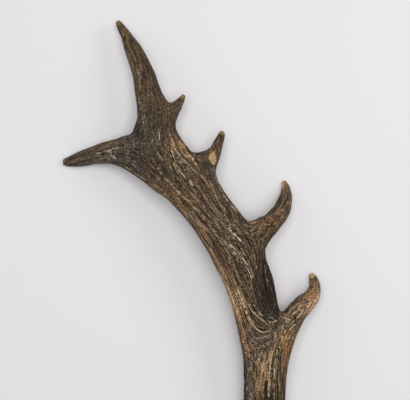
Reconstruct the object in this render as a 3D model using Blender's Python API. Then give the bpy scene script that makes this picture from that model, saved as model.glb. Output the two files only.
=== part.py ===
"""One deer antler, sawn from the skull below its burr and lying on a surface.

It rests on the burr, the tip of its front tine and the tip of its middle tine, with its
outer, bulging side up. X runs across the antler, Y from the sawn foot towards the top
tine, and Z up. The origin is on the surface, under the middle of the antler's box.
"""

import math

import bmesh
import bpy
import numpy as np
from mathutils import Vector

MM = 0.001

# Every branch follows a middle line from its root to its tip. Each row is one place on it:
# x, y, z, half the width seen from above and half the depth, in millimetres.
BRANCHES = {
    "beam": [
        (55.5, -222.5, 24.0, 16.0, 15.4),
        (58.0, -201.5, 25.5, 16.5, 15.9),
        (62.0, -181.0, 28.8, 18.6, 17.8),
        (65.3, -157.0, 31.5, 18.8, 17.9),
        (67.2, -134.0, 34.0, 18.2, 17.5),
        (67.5, -106.5, 37.5, 18.6, 17.5),
        (64.3, -81.5, 40.0, 19.2, 17.6),
        (58.8, -56.0, 43.0, 19.7, 17.5),
        (52.1, -30.6, 45.0, 20.7, 17.7),
        (36.2, 3.2, 46.0, 21.0, 17.6),
        (17.4, 31.1, 45.0, 20.8, 15.6),
        (-2.4, 53.6, 42.0, 20.4, 13.6),
        (-26.0, 74.0, 36.0, 19.0, 11.8),
    ],
    "front": [
        (-26.0, 74.0, 36.0, 19.0, 11.8),
        (-50.0, 84.2, 28.4, 16.9, 10.7),
        (-66.0, 85.5, 22.0, 11.9, 8.9),
        (-77.0, 85.0, 16.8, 9.9, 7.9),
        (-88.5, 83.0, 11.8, 8.3, 7.0),
        (-99.5, 80.0, 7.9, 7.1, 6.4),
        (-110.0, 77.5, 4.7, 4.9, 4.5),
        (-117.5, 77.0, 3.1, 2.7, 2.6),
    ],
    "top": [
        (-17.5, 71.5, 39.0, 19.0, 11.8),
        (-29.5, 94.5, 37.0, 18.7, 12.2),
        (-32.5, 104.0, 36.0, 17.8, 11.6),
        (-32.5, 114.0, 35.0, 15.1, 10.9),
        (-35.0, 127.0, 33.5, 13.2, 9.9),
        (-38.5, 139.5, 32.0, 11.5, 9.1),
        (-41.5, 152.5, 30.0, 10.3, 8.5),
        (-46.2, 165.4, 27.5, 9.1, 8.0),
        (-51.8, 178.2, 24.5, 7.9, 7.3),
        (-58.0, 190.5, 20.5, 5.2, 4.9),
        (-62.8, 198.5, 17.3, 3.9, 3.7),
        (-66.8, 205.0, 14.5, 2.4, 2.4),
    ],
    "spur": [
        (-25.0, 113.0, 34.0, 6.8, 6.0),
        (-16.5, 121.3, 33.0, 5.2, 4.6),
        (-10.5, 129.0, 31.0, 3.9, 3.5),
        (-7.0, 134.5, 29.3, 2.6, 2.6),
        (-5.6, 137.5, 28.5, 1.8, 1.8),
    ],
    "small": [
        (8.8, 54.0, 42.0, 13.9, 10.4),
        (10.0, 69.6, 41.0, 12.4, 9.2),
        (20.9, 83.0, 38.0, 6.5, 5.8),
        (25.0, 92.6, 35.0, 4.6, 4.3),
        (27.6, 99.0, 32.5, 3.5, 3.5),
        (28.7, 104.0, 30.0, 2.3, 2.3),
    ],
    "middle": [
        (45.8, -12.5, 45.0, 13.6, 12.6),
        (53.2, 1.2, 44.0, 11.6, 10.8),
        (62.8, 13.4, 40.0, 11.2, 9.9),
        (73.5, 21.6, 33.8, 9.0, 8.4),
        (81.7, 30.8, 25.4, 8.2, 7.6),
        (85.5, 39.5, 17.6, 6.9, 6.5),
        (87.5, 46.5, 10.6, 5.3, 5.0),
        (87.4, 53.5, 5.3, 3.9, 3.9),
        (85.7, 59.2, 1.9, 2.3, 2.3),
    ],
    "brow": [
        (72.0, -100.5, 37.0, 12.8, 12.2),
        (83.8, -79.6, 36.0, 10.9, 10.6),
        (93.8, -62.8, 33.0, 9.4, 9.2),
        (101.9, -53.4, 29.5, 9.0, 8.6),
        (109.7, -46.4, 25.0, 7.4, 6.9),
        (113.2, -38.5, 20.0, 5.5, 5.2),
        (112.5, -31.5, 15.5, 4.2, 4.2),
        (110.3, -25.6, 12.0, 2.5, 2.5),
    ],
}
STEP_ALONG = 1.6  # distance between the sections that a branch is read at, mm
FORK_BLEND = 4.5  # how widely two branches flow into each other at a fork, mm
KNOB_BLEND = 1.2  # the same for the burr's knobs, which stay apart

# The burr is a flared rim with knobs on it, where the antler grew from the skull.
BURR_AT = (61.8, -182.5, 27.1)
RIM_HALF_WIDTH = 20.9
RIM_THICK = 4.6
KNOB_HALF_WIDTH = 23.4
KNOB_COUNT = 17
KNOB_RADII = (4.9, 3.6, 4.4, 3.2, 5.2, 4.0, 3.5)
KNOB_STRAYS = {"round": 0.28, "out": 0.9, "along": 2.0}  # in knob spacings, mm and mm

# The saw cut leaves a flat foot that faces down the beam.
FOOT_AT = (58.7, -202.5, 25.2)
FOOT_FACES = (-0.15, -0.975, -0.16)

# Long gutters and ridges run along every branch: waves round the girth, how high, phase.
RIDGE_WAVES = ((6, 0.45, 0.4), (9, 0.38, 2.1), (13, 0.22, 4.4))
RIDGE_WANDER = 34.0  # length over which the ridges drift round the girth, mm
RIDGE_DRIFT = 0.8  # how far they drift, radians
WIDTH_OF_FULL_RIDGE = 18.0  # half width from which the ridges have their full height, mm
FADE_OF_RIDGE = 1.5

# Where each tine parts from the beam: its branch, a point on the parting plane, the way out.
PARTINGS = {
    "brow_tine": ("brow", (94.0, -64.0, 33.5), (0.60, 0.80, -0.05)),
    "middle_tine": ("middle", (67.5, 16.0, 38.0), (0.62, 0.70, -0.35)),
    "small_tine": ("small", (19.5, 80.5, 38.8), (0.48, 0.85, -0.18)),
    "front_tine": ("front", (-57.0, 85.5, 26.5), (-1.0, 0.05, 0.0)),
    "top_tine": ("top", (-29.5, 107.0, 35.5), (0.0, 1.0, 0.0)),
}
PARTING_GAP = 0.3
VOXEL = 1.6  # edge length of the skin before it is thinned out, mm
TRIANGLES = 9000  # wanted after thinning out; the partings add some
SETTLING_ROUNDS = 6
SHARP_FROM = 60  # edges that turn more than this, in degrees, are shaded sharp

COLOURS = {
    "beam": (0.085, 0.055, 0.032, 1.0),
    "brow_tine": (0.120, 0.078, 0.042, 1.0),
    "middle_tine": (0.080, 0.055, 0.034, 1.0),
    "small_tine": (0.100, 0.070, 0.045, 1.0),
    "front_tine": (0.062, 0.048, 0.036, 1.0),
    "top_tine": (0.070, 0.050, 0.034, 1.0),
}
ROUGHNESS = 0.5


def clear_scene():
    for thing in list(bpy.data.objects):
        bpy.data.objects.remove(thing)


def smooth_line(rows):
    """Sections every STEP_ALONG millimetres on a curve through a branch's rows."""
    rows = np.array(rows, float)
    ends = np.vstack([2 * rows[0] - rows[1], rows, 2 * rows[-1] - rows[-2]])
    sections = []
    for before, start, stop, after in zip(ends[:-3], ends[1:-2], ends[2:-1], ends[3:]):
        count = max(2, round(np.linalg.norm(stop[:3] - start[:3]) / STEP_ALONG))
        t = (np.arange(count) / count)[:, None]
        sections.append(
            0.5 * (2 * start + (stop - before) * t
                   + (2 * before - 5 * start + 4 * stop - after) * t**2
                   + (3 * start - before - 3 * stop + after) * t**3)
        )
    return np.vstack([*sections, rows[-1:]])


class Branch:
    """One branch as a row of flattened balls, with a frame of axes at each."""

    def __init__(self, name):
        line = smooth_line(BRANCHES[name])
        self.name = name
        self.middle = line[:, :3]
        self.half_width = line[:, 3]
        self.half_depth = line[:, 4]
        self.tangent = np.gradient(self.middle, axis=0)
        self.tangent /= np.linalg.norm(self.tangent, axis=1)[:, None]
        self.side = np.cross(self.tangent, (0.0, 0.0, 1.0))
        self.side /= np.linalg.norm(self.side, axis=1)[:, None]
        self.up = np.cross(self.side, self.tangent)
        steps = np.linalg.norm(np.diff(self.middle, axis=0), axis=1)
        self.along = np.concatenate([[0.0], np.cumsum(steps)])

    def read(self, points):
        """For each point: distance from the surface, the way out, and the ridge height."""
        flat = self.half_depth / self.half_width
        away = points[:, None, :] - self.middle[None]
        away[:, :, 2] /= flat
        reach = np.linalg.norm(away, axis=2)
        near = np.argmin(reach - self.half_width, axis=1)
        row = np.arange(len(points))
        distance = reach[row, near] - self.half_width[near]
        out = away[row, near] / np.maximum(reach[row, near], 1e-9)[:, None]
        out[:, 2] /= flat[near]
        return distance, out, self.ridges(points, near)

    def ridges(self, points, near):
        offset = points - self.middle[near]
        across = np.sum(offset * self.side[near], axis=1) / self.half_width[near]
        upward = np.sum(offset * self.up[near], axis=1) / self.half_depth[near]
        angle = np.arctan2(upward, across)
        along = self.along[near]
        height = np.zeros(len(points))
        for count, depth, phase in RIDGE_WAVES:
            wander = RIDGE_DRIFT * np.sin(along / RIDGE_WANDER + 2.0 * phase)
            height += depth * np.sin(count * angle + phase + wander)
        fullness = np.clip(self.half_width[near] / WIDTH_OF_FULL_RIDGE, 0.0, 1.0)
        return height * fullness**FADE_OF_RIDGE


def burr_axes():
    """The way along the beam at the burr, and two ways across it."""
    along = np.array(FOOT_FACES) / np.linalg.norm(FOOT_FACES)
    side = np.cross(along, (0.0, 0.0, 1.0))
    side /= np.linalg.norm(side)
    return along, side, np.cross(side, along)


def burr_knobs():
    """Middle and radius of every knob round the burr, none quite like the next."""
    along, side, up = burr_axes()
    knobs = []
    for i in range(KNOB_COUNT):
        angle = math.tau * (i + KNOB_STRAYS["round"] * math.sin(3.3 * i)) / KNOB_COUNT
        reach = KNOB_HALF_WIDTH + KNOB_STRAYS["out"] * math.sin(4.1 * i)
        out = side * math.cos(angle) + up * math.sin(angle)
        shift = along * (KNOB_STRAYS["along"] * math.sin(2.7 * i))
        knobs.append((np.array(BURR_AT) + out * reach + shift, KNOB_RADII[i % len(KNOB_RADII)]))
    return knobs


def read_rim(points):
    """The burr's rim: the distance from a ring, the way out and no ridges."""
    along, _, _ = burr_axes()
    away = points - np.array(BURR_AT)
    flat = away - (away @ along)[:, None] * along
    flat /= np.maximum(np.linalg.norm(flat, axis=1), 1e-9)[:, None]
    return read_ball(away, flat * RIM_HALF_WIDTH, RIM_THICK)


def read_ball(points, middle, radius):
    away = points - middle
    reach = np.maximum(np.linalg.norm(away, axis=1), 1e-9)
    return reach - radius, away / reach[:, None], np.zeros(len(points))


def flow_together(found, blend):
    """Joins several readings of the same points, with soft creases between them."""
    distances = np.array([reading[0] for reading in found])
    nearest = distances.min(axis=0)
    weights = np.exp(-(distances - nearest) / blend)
    total = weights.sum(axis=0)
    shares = weights / total
    out = np.sum(shares[:, :, None] * np.array([reading[1] for reading in found]), axis=0)
    height = np.sum(shares * np.array([reading[2] for reading in found]), axis=0)
    return nearest - blend * np.log(total), out, height


class Antler:
    """The whole antler's smooth surface, where all branches and the burr flow together."""

    def __init__(self):
        self.branches = [Branch(name) for name in BRANCHES]
        self.knobs = burr_knobs()

    def read(self, points):
        limbs = [branch.read(points) for branch in self.branches]
        smooth = flow_together([*limbs, read_rim(points)], FORK_BLEND)
        knobs = flow_together([read_ball(points, *knob) for knob in self.knobs], KNOB_BLEND)
        return flow_together([smooth, knobs], KNOB_BLEND)

    def settle(self, points):
        """Moves points onto the smooth surface, then out or in by the ridges."""
        for _ in range(SETTLING_ROUNDS):
            distance, out, _ = self.read(points)
            points = points - out * (distance / np.sum(out**2, axis=1))[:, None]
        _, out, height = self.read(points)
        out /= np.linalg.norm(out, axis=1)[:, None]
        return points + out * height[:, None]


def rough_branch(branch):
    """A plain tube along a branch, as thick as the branch is wide."""
    curve = bpy.data.curves.new(branch.name, "CURVE")
    curve.dimensions = "3D"
    curve.bevel_depth = MM
    curve.bevel_resolution = 6
    curve.use_fill_caps = True
    spline = curve.splines.new("POLY")
    spline.points.add(len(branch.middle) - 1)
    for point, middle, radius in zip(spline.points, branch.middle, branch.half_depth):
        point.co = (*(middle * MM), 1.0)
        point.radius = radius
    tube = bpy.data.objects.new("rough_" + branch.name, curve)
    bpy.context.scene.collection.objects.link(tube)
    return tube


def fused_antler(antler):
    """All the branches as one closed skin with the forks webbed and the ridges raised."""
    tubes = [rough_branch(branch) for branch in antler.branches]
    along, _, _ = burr_axes()
    bpy.ops.mesh.primitive_torus_add(
        major_radius=RIM_HALF_WIDTH * MM,
        minor_radius=RIM_THICK * MM,
        location=Vector(BURR_AT) * MM,
        rotation=Vector(along).to_track_quat("Z", "Y").to_euler(),
    )
    tubes.append(bpy.context.object)
    for middle, radius in antler.knobs:
        bpy.ops.mesh.primitive_uv_sphere_add(
            segments=12, ring_count=8, radius=radius * MM, location=Vector(middle) * MM
        )
        tubes.append(bpy.context.object)
    bpy.ops.object.select_all(action="DESELECT")
    for tube in tubes:
        tube.select_set(True)
    bpy.context.view_layer.objects.active = tubes[0]
    bpy.ops.object.convert(target="MESH")
    bpy.ops.object.join()
    whole = bpy.context.object
    remesh = whole.modifiers.new("fuse", "REMESH")
    remesh.mode = "VOXEL"
    remesh.voxel_size = VOXEL * MM
    bpy.ops.object.modifier_apply(modifier=remesh.name)
    points = np.zeros(len(whole.data.vertices) * 3)
    whole.data.vertices.foreach_get("co", points)
    points = antler.settle(points.reshape(-1, 3) / MM) * MM
    whole.data.vertices.foreach_set("co", points.ravel())
    whole.data.update()
    thin = whole.modifiers.new("thin_out", "DECIMATE")
    thin.ratio = TRIANGLES / (2 * len(whole.data.polygons))
    bpy.ops.object.modifier_apply(modifier=thin.name)
    return whole


def saw_off_foot(bm):
    """Cuts the beam square below the burr and closes the cut with one flat face."""
    bmesh.ops.bisect_plane(
        bm,
        geom=bm.verts[:] + bm.edges[:] + bm.faces[:],
        plane_co=Vector(FOOT_AT) * MM,
        plane_no=Vector(FOOT_FACES),
        clear_outer=True,
    )
    bmesh.ops.holes_fill(bm, edges=[e for e in bm.edges if e.is_boundary])


def tine_beyond(bm, tip, point, way_out):
    """The faces that reach past a plane and hang together with the tine's tip."""
    past = {v for v in bm.verts if (v.co / MM - point).dot(way_out) > 0.0}
    first = min(bm.verts, key=lambda v: (v.co / MM - tip).length).link_faces[0]
    found = {first}
    edge_of_search = [first]
    while edge_of_search:
        face = edge_of_search.pop()
        for beside in {f for e in face.edges for f in e.link_faces} - found:
            if past.intersection(beside.verts):
                found.add(beside)
                edge_of_search.append(beside)
    return found


def part_tine(bm, branch_name, point, way_out):
    """Cuts a thin slice out across a tine's root, which leaves the tine on its own."""
    way_out = Vector(way_out).normalized()
    tip = Vector(BRANCHES[branch_name][-1][:3])
    root_side = Vector(point) - way_out * PARTING_GAP / 2
    tip_side = Vector(point) + way_out * PARTING_GAP / 2
    for place in (root_side, tip_side):
        tine = tine_beyond(bm, tip, place, way_out)
        edges = {e for f in tine for e in f.edges}
        corners = {v for f in tine for v in f.verts}
        bmesh.ops.bisect_plane(
            bm, geom=[*tine, *edges, *corners], plane_co=place * MM, plane_no=way_out
        )
    slice_faces = [
        f for f in tine_beyond(bm, tip, root_side, way_out)
        if 0.0 < (f.calc_center_median() / MM - root_side).dot(way_out) < PARTING_GAP
    ]
    bmesh.ops.delete(bm, geom=slice_faces, context="FACES")
    bmesh.ops.holes_fill(bm, edges=[e for e in bm.edges if e.is_boundary])


def split_at_forks(whole):
    """Makes the skin into the beam and its tines, each a closed solid of its own."""
    bm = bmesh.new()
    bm.from_mesh(whole.data)
    saw_off_foot(bm)
    for branch_name, point, way_out in PARTINGS.values():
        part_tine(bm, branch_name, point, way_out)
    bmesh.ops.recalc_face_normals(bm, faces=bm.faces[:])
    bm.to_mesh(whole.data)
    bm.free()
    bpy.ops.object.mode_set(mode="EDIT")
    bpy.ops.mesh.separate(type="LOOSE")
    bpy.ops.object.mode_set(mode="OBJECT")
    return list(bpy.context.selected_objects)


def piece_name(piece):
    """The tine whose tip the piece holds, or the beam, which holds the foot."""
    marks = {name: BRANCHES[branch][-1][:3] for name, (branch, _, _) in PARTINGS.items()}
    marks["beam"] = FOOT_AT
    corners = np.array([v.co[:] for v in piece.data.vertices]) / MM
    gaps = {name: np.linalg.norm(corners - mark, axis=1).min() for name, mark in marks.items()}
    return min(gaps, key=gaps.get)


def paint(piece, colour):
    material = bpy.data.materials.new(piece.name + "_bark")
    material.use_nodes = True
    shader = material.node_tree.nodes["Principled BSDF"]
    shader.inputs["Base Color"].default_value = colour
    shader.inputs["Roughness"].default_value = ROUGHNESS
    shader.inputs["Metallic"].default_value = 0.0
    piece.data.materials.clear()
    piece.data.materials.append(material)
    piece.data.shade_smooth()
    piece.data.set_sharp_from_angle(angle=math.radians(SHARP_FROM))


def main():
    clear_scene()
    antler = Antler()
    whole = fused_antler(antler)
    for piece in split_at_forks(whole):
        piece.name = piece_name(piece)
        paint(piece, COLOURS[piece.name])


main()
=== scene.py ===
# A deer antler lying on a pale floor, seen from straight above.
# Its bark is combed into ridges and gutters that follow the branches and turn round the forks.

import math

import bmesh
import bpy
import numpy as np
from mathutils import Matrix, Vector


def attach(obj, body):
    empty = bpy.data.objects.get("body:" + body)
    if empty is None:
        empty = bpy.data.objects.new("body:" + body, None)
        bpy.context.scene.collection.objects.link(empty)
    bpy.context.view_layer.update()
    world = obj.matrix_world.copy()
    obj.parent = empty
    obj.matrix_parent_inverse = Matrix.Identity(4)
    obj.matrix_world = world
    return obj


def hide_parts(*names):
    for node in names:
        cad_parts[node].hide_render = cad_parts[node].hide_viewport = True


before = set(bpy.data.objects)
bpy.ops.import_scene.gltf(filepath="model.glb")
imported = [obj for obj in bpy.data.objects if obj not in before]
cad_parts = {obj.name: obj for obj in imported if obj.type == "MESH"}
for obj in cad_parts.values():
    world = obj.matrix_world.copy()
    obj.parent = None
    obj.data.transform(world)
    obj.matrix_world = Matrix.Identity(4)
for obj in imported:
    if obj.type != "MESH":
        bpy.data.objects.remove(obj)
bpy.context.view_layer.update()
mm = 0.001

# Middle lines of the branches, as in the solids: x, y, z, half width and half depth in mm
branches = {
    "beam": [
        (55.5, -222.5, 24.0, 16.0, 15.4),
        (58.0, -201.5, 25.5, 16.5, 15.9),
        (62.0, -181.0, 28.8, 18.6, 17.8),
        (65.3, -157.0, 31.5, 18.8, 17.9),
        (67.2, -134.0, 34.0, 18.2, 17.5),
        (67.5, -106.5, 37.5, 18.6, 17.5),
        (64.3, -81.5, 40.0, 19.2, 17.6),
        (58.8, -56.0, 43.0, 19.7, 17.5),
        (52.1, -30.6, 45.0, 20.7, 17.7),
        (36.2, 3.2, 46.0, 21.0, 17.6),
        (17.4, 31.1, 45.0, 20.8, 15.6),
        (-2.4, 53.6, 42.0, 20.4, 13.6),
        (-26.0, 74.0, 36.0, 19.0, 11.8),
    ],
    "front": [
        (-26.0, 74.0, 36.0, 19.0, 11.8),
        (-50.0, 84.2, 28.4, 16.9, 10.7),
        (-66.0, 85.5, 22.0, 11.9, 8.9),
        (-77.0, 85.0, 16.8, 9.9, 7.9),
        (-88.5, 83.0, 11.8, 8.3, 7.0),
        (-99.5, 80.0, 7.9, 7.1, 6.4),
        (-110.0, 77.5, 4.7, 4.9, 4.5),
        (-117.5, 77.0, 3.1, 2.7, 2.6),
    ],
    "top": [
        (-17.5, 71.5, 39.0, 19.0, 11.8),
        (-29.5, 94.5, 37.0, 18.7, 12.2),
        (-32.5, 104.0, 36.0, 17.8, 11.6),
        (-32.5, 114.0, 35.0, 15.1, 10.9),
        (-35.0, 127.0, 33.5, 13.2, 9.9),
        (-38.5, 139.5, 32.0, 11.5, 9.1),
        (-41.5, 152.5, 30.0, 10.3, 8.5),
        (-46.2, 165.4, 27.5, 9.1, 8.0),
        (-51.8, 178.2, 24.5, 7.9, 7.3),
        (-58.0, 190.5, 20.5, 5.2, 4.9),
        (-62.8, 198.5, 17.3, 3.9, 3.7),
        (-66.8, 205.0, 14.5, 2.4, 2.4),
    ],
    "spur": [
        (-25.0, 113.0, 34.0, 6.8, 6.0),
        (-16.5, 121.3, 33.0, 5.2, 4.6),
        (-10.5, 129.0, 31.0, 3.9, 3.5),
        (-7.0, 134.5, 29.3, 2.6, 2.6),
        (-5.6, 137.5, 28.5, 1.8, 1.8),
    ],
    "small": [
        (8.8, 54.0, 42.0, 13.9, 10.4),
        (10.0, 69.6, 41.0, 12.4, 9.2),
        (20.9, 83.0, 38.0, 6.5, 5.8),
        (25.0, 92.6, 35.0, 4.6, 4.3),
        (27.6, 99.0, 32.5, 3.5, 3.5),
        (28.7, 104.0, 30.0, 2.3, 2.3),
    ],
    "middle": [
        (45.8, -12.5, 45.0, 13.6, 12.6),
        (53.2, 1.2, 44.0, 11.6, 10.8),
        (62.8, 13.4, 40.0, 11.2, 9.9),
        (73.5, 21.6, 33.8, 9.0, 8.4),
        (81.7, 30.8, 25.4, 8.2, 7.6),
        (85.5, 39.5, 17.6, 6.9, 6.5),
        (87.5, 46.5, 10.6, 5.3, 5.0),
        (87.4, 53.5, 5.3, 3.9, 3.9),
        (85.7, 59.2, 1.9, 2.3, 2.3),
    ],
    "brow": [
        (72.0, -100.5, 37.0, 12.8, 12.2),
        (83.8, -79.6, 36.0, 10.9, 10.6),
        (93.8, -62.8, 33.0, 9.4, 9.2),
        (101.9, -53.4, 29.5, 9.0, 8.6),
        (109.7, -46.4, 25.0, 7.4, 6.9),
        (113.2, -38.5, 20.0, 5.5, 5.2),
        (112.5, -31.5, 15.5, 4.2, 4.2),
        (110.3, -25.6, 12.0, 2.5, 2.5),
    ],
}

# Where each tine parts from the beam: its branch, a point on the cut and the way out, in mm
partings = {
    "brow_tine": ("brow", (94.0, -64.0, 33.5), (0.60, 0.80, -0.05)),
    "middle_tine": ("middle", (67.5, 16.0, 38.0), (0.62, 0.70, -0.35)),
    "small_tine": ("small", (19.5, 80.5, 38.8), (0.48, 0.85, -0.18)),
    "front_tine": ("front", (-57.0, 85.5, 26.5), (-1.0, 0.05, 0.0)),
    "top_tine": ("top", (-29.5, 107.0, 35.5), (0.0, 1.0, 0.0)),
}

skin = {
    "voxel": 0.82,  # edge length of the carved mesh, mm
    "evenRounds": 14,  # takes the solids' facets out
    "footAt": (58.7, -202.5, 25.2),
    "footFaces": (-0.15, -0.975, -0.16),
    "footTrim": 0.35,
    "branchBlend": 3.0,
}

# How the grain runs. In a crotch it turns round a centre: where, how far that reaches, strength
grain = {
    "cell": 4.0,
    "step": 1.0,
    "forkBlend": 7.0,
    "guideReach": 5.0,
    "guideStrength": 3.0,
    "settleRounds": 6,
    "turns": [
        ((80.5, -58.0), 20.0, 3.0),
        ((53.0, 25.0), 15.0, 2.5),
        ((7.5, 86.5), 12.0, 2.0),
        ((-17.0, 133.0), 8.0, 2.0),
        ((-51.0, 107.0), 13.0, 2.0),
    ],
}

# Combed noises: how wide their streaks are and how far they run each way, mm
streaks = {
    "gutter": (6.0, 44.0),
    "ridge": (2.6, 34.0),
    "fine": (1.0, 20.0),
    "line": (3.3, 32.0),
    "weave": (4.1, 32.0),
}

# Heights, depths and half widths, mm, and how much of the relief a place takes away
relief = {
    "gutterDepth": 0.70,
    "ridgeHeight": 0.55,
    "fineHeight": 0.17,
    "pearlHeight": 0.40,
    "burrPearlHeight": 0.8,
    "rubbedHeight": 0.30,
    "rubbedHalfWidth": 1.3,
    "furrowDepth": 0.75,
    "furrowHalfWidth": 0.75,
    "flakeDepth": 0.25,
    "ridgeSpread": 1.3,
    "mottleSmooths": 0.45,
    "boneSmooths": 0.85,
    "crestReach": 1.7,  # how far a crest or furrow shapes the ridges beside it
    "crestSpread": 1.8,
    "furrowTop": 1.6,
    "grooveRounds": 10,  # how wide round a place its grooves are measured
}

# The burr and the stub, measured along the beam from the sawn foot, mm. Below zero is behind it
foot = {
    "burrAt": -19.5,
    "burrReach": 8.5,
    "stubFrom": -16.0,
    "stubFull": -9.0,
    "stubSmooths": 0.7,
}

# Cell sizes of the random fields, mm
cells = {
    "unevenness": 9.0,
    "pearls": 1.9,
    "burrPearls": 3.2,
    "stainsAndShade": 16.0,
    "crestBreaks": 3.5,
    "furrowBreaks": 5.0,
    "flakeEdge": 2.2,
}

# How strong the stain colours are that lie outside the listed places, how strong the painted shade on
# the sides is, and cream at those places
stainsAndShade = {
    "wideTan": 0.2,
    "hiddenTan": 0.4,
    "wideDark": 0.25,
    "flankShade": 0.7,
    "placedCream": 0.85,
    "allCream": 0.18,
    "hiddenCream": 0.2,
}


# Evenly spaced sections on a smooth curve through a list of rows
def smoothLine(rows, spacing=2.5):
    rows = np.array(rows, float)
    ends = np.vstack([2 * rows[0] - rows[1], rows, 2 * rows[-1] - rows[-2]])
    sections = []
    for before, start, stop, after in zip(ends[:-3], ends[1:-2], ends[2:-1], ends[3:]):
        count = max(2, round(np.linalg.norm(stop[:3] - start[:3]) / spacing))
        t = (np.arange(count) / count)[:, None]
        sections.append(
            0.5 * (2 * start + (stop - before) * t
                   + (2 * before - 5 * start + 4 * stop - after) * t**2
                   + (3 * start - before - 3 * stop + after) * t**3)
        )
    return np.vstack([*sections, rows[-1:]])


class Branch:
    def __init__(self, rows):
        line = smoothLine(rows)
        self.middle = line[:, :3]
        self.halfWidth = line[:, 3]
        self.flat = line[:, 4] / line[:, 3]
        self.tangent = np.gradient(self.middle, axis=0)
        self.tangent /= np.linalg.norm(self.tangent, axis=1)[:, None]
        self.side = np.cross(self.tangent, (0.0, 0.0, 1.0))
        self.side /= np.linalg.norm(self.side, axis=1)[:, None]
        self.up = np.cross(self.side, self.tangent)
        steps = np.linalg.norm(np.diff(self.middle, axis=0), axis=1)
        self.along = np.concatenate([[0.0], np.cumsum(steps)])

    # Distance from the branch's surface, its direction, and the place along, beside and above it
    def read(self, points):
        away = points[:, None, :] - self.middle[None]
        away[:, :, 2] /= self.flat
        reach = np.sqrt(np.einsum("ijk,ijk->ij", away, away)) - self.halfWidth
        near = np.argmin(reach, axis=1)
        offset = points - self.middle[near]
        tangent = self.tangent[near]
        ahead = np.sum(offset * tangent, axis=1)
        beside = np.sum(offset * self.side[near], axis=1)
        above = np.sum(offset * self.up[near], axis=1)
        place = np.stack([self.along[near] + ahead, beside, above], axis=1)
        return reach[np.arange(len(points)), near], tangent, place


def readBranches(points):
    parts = []
    for chunk in np.array_split(points, max(1, len(points) // 20000)):
        found = [branch.read(chunk) for branch in limbs.values()]
        parts.append([np.stack([f[i] for f in found]) for i in range(3)])
    return [np.concatenate([part[i] for part in parts], axis=1) for i in range(3)]


def shares(distances, blend):
    weights = np.exp(-(distances - distances.min(axis=0)) / blend)
    return weights / weights.sum(axis=0)


# One skin over all the solids, closed at the forks
def fusedSkin():
    copies = []
    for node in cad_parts.values():
        copy = node.copy()
        copy.data = node.data.copy()
        copy.parent = None
        bpy.context.scene.collection.objects.link(copy)
        copies.append(copy)
    bpy.ops.object.select_all(action="DESELECT")
    for copy in copies:
        copy.select_set(True)
    bpy.context.view_layer.objects.active = copies[0]
    bpy.ops.object.join()
    whole = bpy.context.object
    whole.name = "antlerSkin"
    whole.data.materials.clear()
    bpy.ops.object.mode_set(mode="EDIT")
    bpy.ops.mesh.select_all(action="SELECT")
    bpy.ops.mesh.remove_doubles(threshold=0.00001)
    bpy.ops.object.mode_set(mode="OBJECT")
    remesh = whole.modifiers.new("carveable", "REMESH")
    remesh.mode = "VOXEL"
    remesh.voxel_size = skin["voxel"] * mm
    bpy.ops.object.modifier_apply(modifier=remesh.name)
    return whole


def readPoints(mesh):
    points = np.zeros(len(mesh.vertices) * 3)
    mesh.vertices.foreach_get("co", points)
    return points.reshape(-1, 3) / mm


def readEdges(mesh):
    edges = np.zeros(len(mesh.edges) * 2, np.int64)
    mesh.edges.foreach_get("vertices", edges)
    return edges.reshape(-1, 2)


def readNormals(mesh):
    normals = np.zeros(len(mesh.vertices) * 3)
    mesh.vertex_normals.foreach_get("vector", normals)
    return normals.reshape(-1, 3)


def writePoints(mesh, points):
    mesh.vertices.foreach_set("co", (points * mm).ravel())
    mesh.update()


# The average of each vertex's neighbours
def averaged(values, edges):
    values = values.reshape(len(values), -1)
    count = np.bincount(edges.ravel(), minlength=len(values))
    total = np.empty_like(values)
    for i in range(values.shape[1]):
        column = values[:, i]
        total[:, i] = np.bincount(edges[:, 0], column[edges[:, 1]], len(values))
        total[:, i] += np.bincount(edges[:, 1], column[edges[:, 0]], len(values))
    return total / count[:, None]


def softened(values, edges, rounds):
    shape = values.shape
    for _ in range(rounds):
        values = 0.5 * values.reshape(len(values), -1) + 0.5 * averaged(values, edges)
    return values.reshape(shape)


# How steeply a field changes over the mesh, per mm
def steepness(values, points, edges):
    change = values[edges[:, 0]] - values[edges[:, 1]]
    apart = np.maximum(np.linalg.norm(points[edges[:, 0]] - points[edges[:, 1]], axis=1), 0.05)
    square = (change / apart) ** 2
    total = np.bincount(edges[:, 0], square, len(values))
    total += np.bincount(edges[:, 1], square, len(values))
    count = np.bincount(edges.ravel(), minlength=len(values))
    return np.sqrt(softened(2.0 * total / count, edges, 1))


# Takes facets out without shrinking the tips: each round in is followed by one out
def evened(points, edges, rounds):
    for _ in range(rounds):
        for pull in (0.5, -0.53):
            points = points + pull * (averaged(points, edges) - points)
    return points


# A soft random field: a lattice of numbers read between its points
class Noise:
    size = 48

    def __init__(self, seed):
        values = np.random.default_rng(seed).standard_normal((self.size,) * 3)
        self.values = values.astype(np.float32).ravel()

    def at(self, points):
        whole = np.floor(points).astype(np.int64)
        part = (points - whole).astype(np.float32)
        part = part * part * (3 - 2 * part)
        low = np.mod(whole, self.size)
        high = np.mod(whole + 1, self.size)
        total = 0
        for corner in range(8):
            pick = [(corner >> axis) & 1 for axis in range(3)]
            index = 0
            weight = 1
            for axis in range(3):
                index = index * self.size + (high if pick[axis] else low)[:, axis]
                weight = weight * (part[:, axis] if pick[axis] else 1 - part[:, axis])
            total = total + weight * self.values[index]
        return total


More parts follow.
